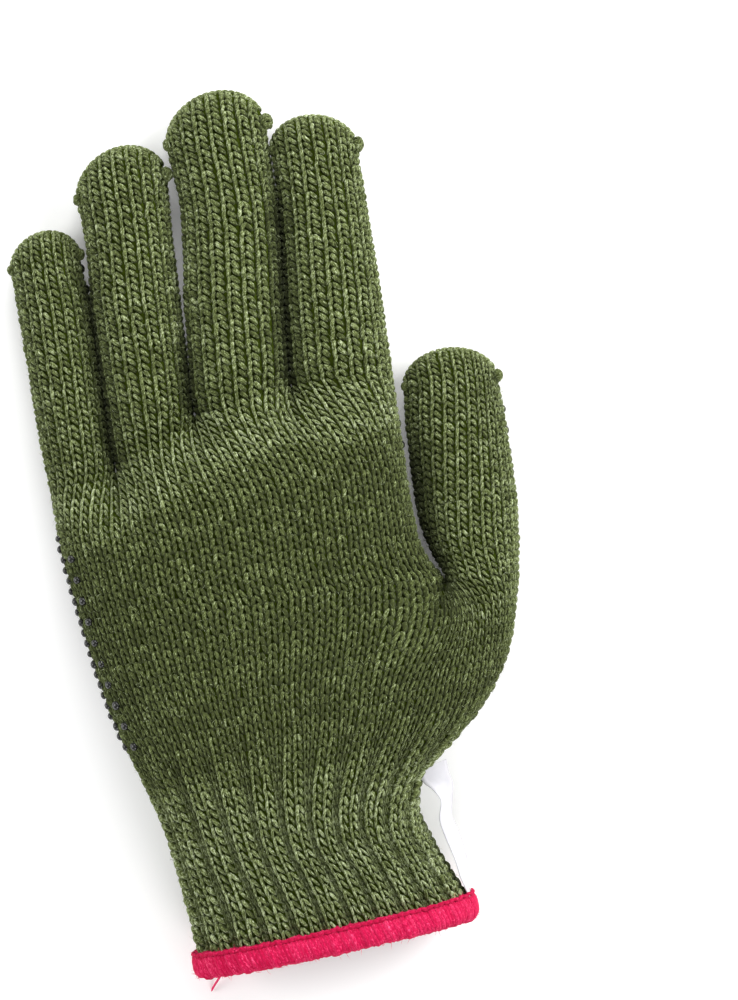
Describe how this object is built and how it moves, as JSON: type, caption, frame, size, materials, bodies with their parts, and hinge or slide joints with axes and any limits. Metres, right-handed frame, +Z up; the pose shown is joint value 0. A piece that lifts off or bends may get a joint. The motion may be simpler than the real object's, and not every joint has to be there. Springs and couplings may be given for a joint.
{
  "type": "dotted knit glove",
  "caption": "Left-hand knitted work glove lying on its dotted palm, with filled-out hollow fingers, a ribbed cuff, a red overlocked hem and a blank side label.",
  "frame": {"origin": "bottom centre of the glove's box, on the surface that it lies on", "axes": "+Y to the fingertips, +Z up out of the back of the hand, +X to the thumb's side"},
  "size_m": [0.136, 0.2534, 0.037],
  "materials": {
    "knit_yarn": "matte heathered green yarn",
    "rib_yarn": "matte heathered green yarn, ribbed",
    "hem_thread": "bulked red overlock thread",
    "label_ribbon": "smooth white woven ribbon",
    "grip_dots": "glossy soft vinyl"
  },
  "bodies": {
    "root": {"little_finger": "knit_yarn", "ring_finger": "knit_yarn", "middle_finger": "knit_yarn", "index_finger": "knit_yarn", "thumb": "knit_yarn", "upper_hand": "knit_yarn", "lower_hand": "knit_yarn", "rib_cuff": "rib_yarn", "hem": "hem_thread", "side_label": "label_ribbon"}
  },
  "joints": []
}
